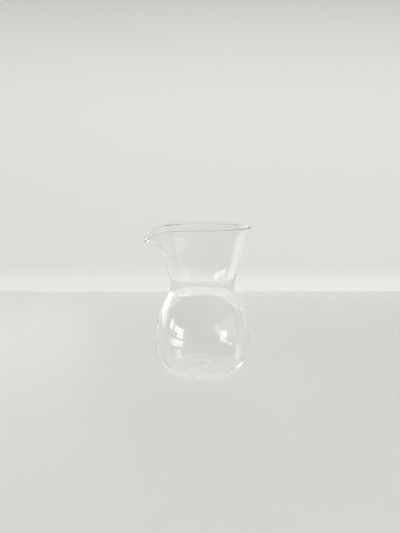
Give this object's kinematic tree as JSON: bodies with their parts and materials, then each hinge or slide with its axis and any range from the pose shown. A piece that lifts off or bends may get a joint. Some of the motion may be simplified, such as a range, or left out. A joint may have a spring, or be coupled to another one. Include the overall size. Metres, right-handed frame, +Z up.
{
  "type": "glass pitcher",
  "caption": "Small clear glass pitcher with a round bulb, a creased waist, a flaring neck and a pulled pouring spout; open at the top.",
  "frame": {"origin": "on the plane the foot stands on, under the middle of the whole width; the axis of the turned body stands at x = +0.00505 m", "axes": "+Z up along the pitcher's axis, -X towards the pouring spout, +Y across it"},
  "size_m": [0.0996, 0.0894, 0.1339],
  "materials": {
    "glass": "clear, smooth, slightly wavy blown glass"
  },
  "bodies": {
    "root": {"pitcher": "glass"}
  },
  "joints": []
}
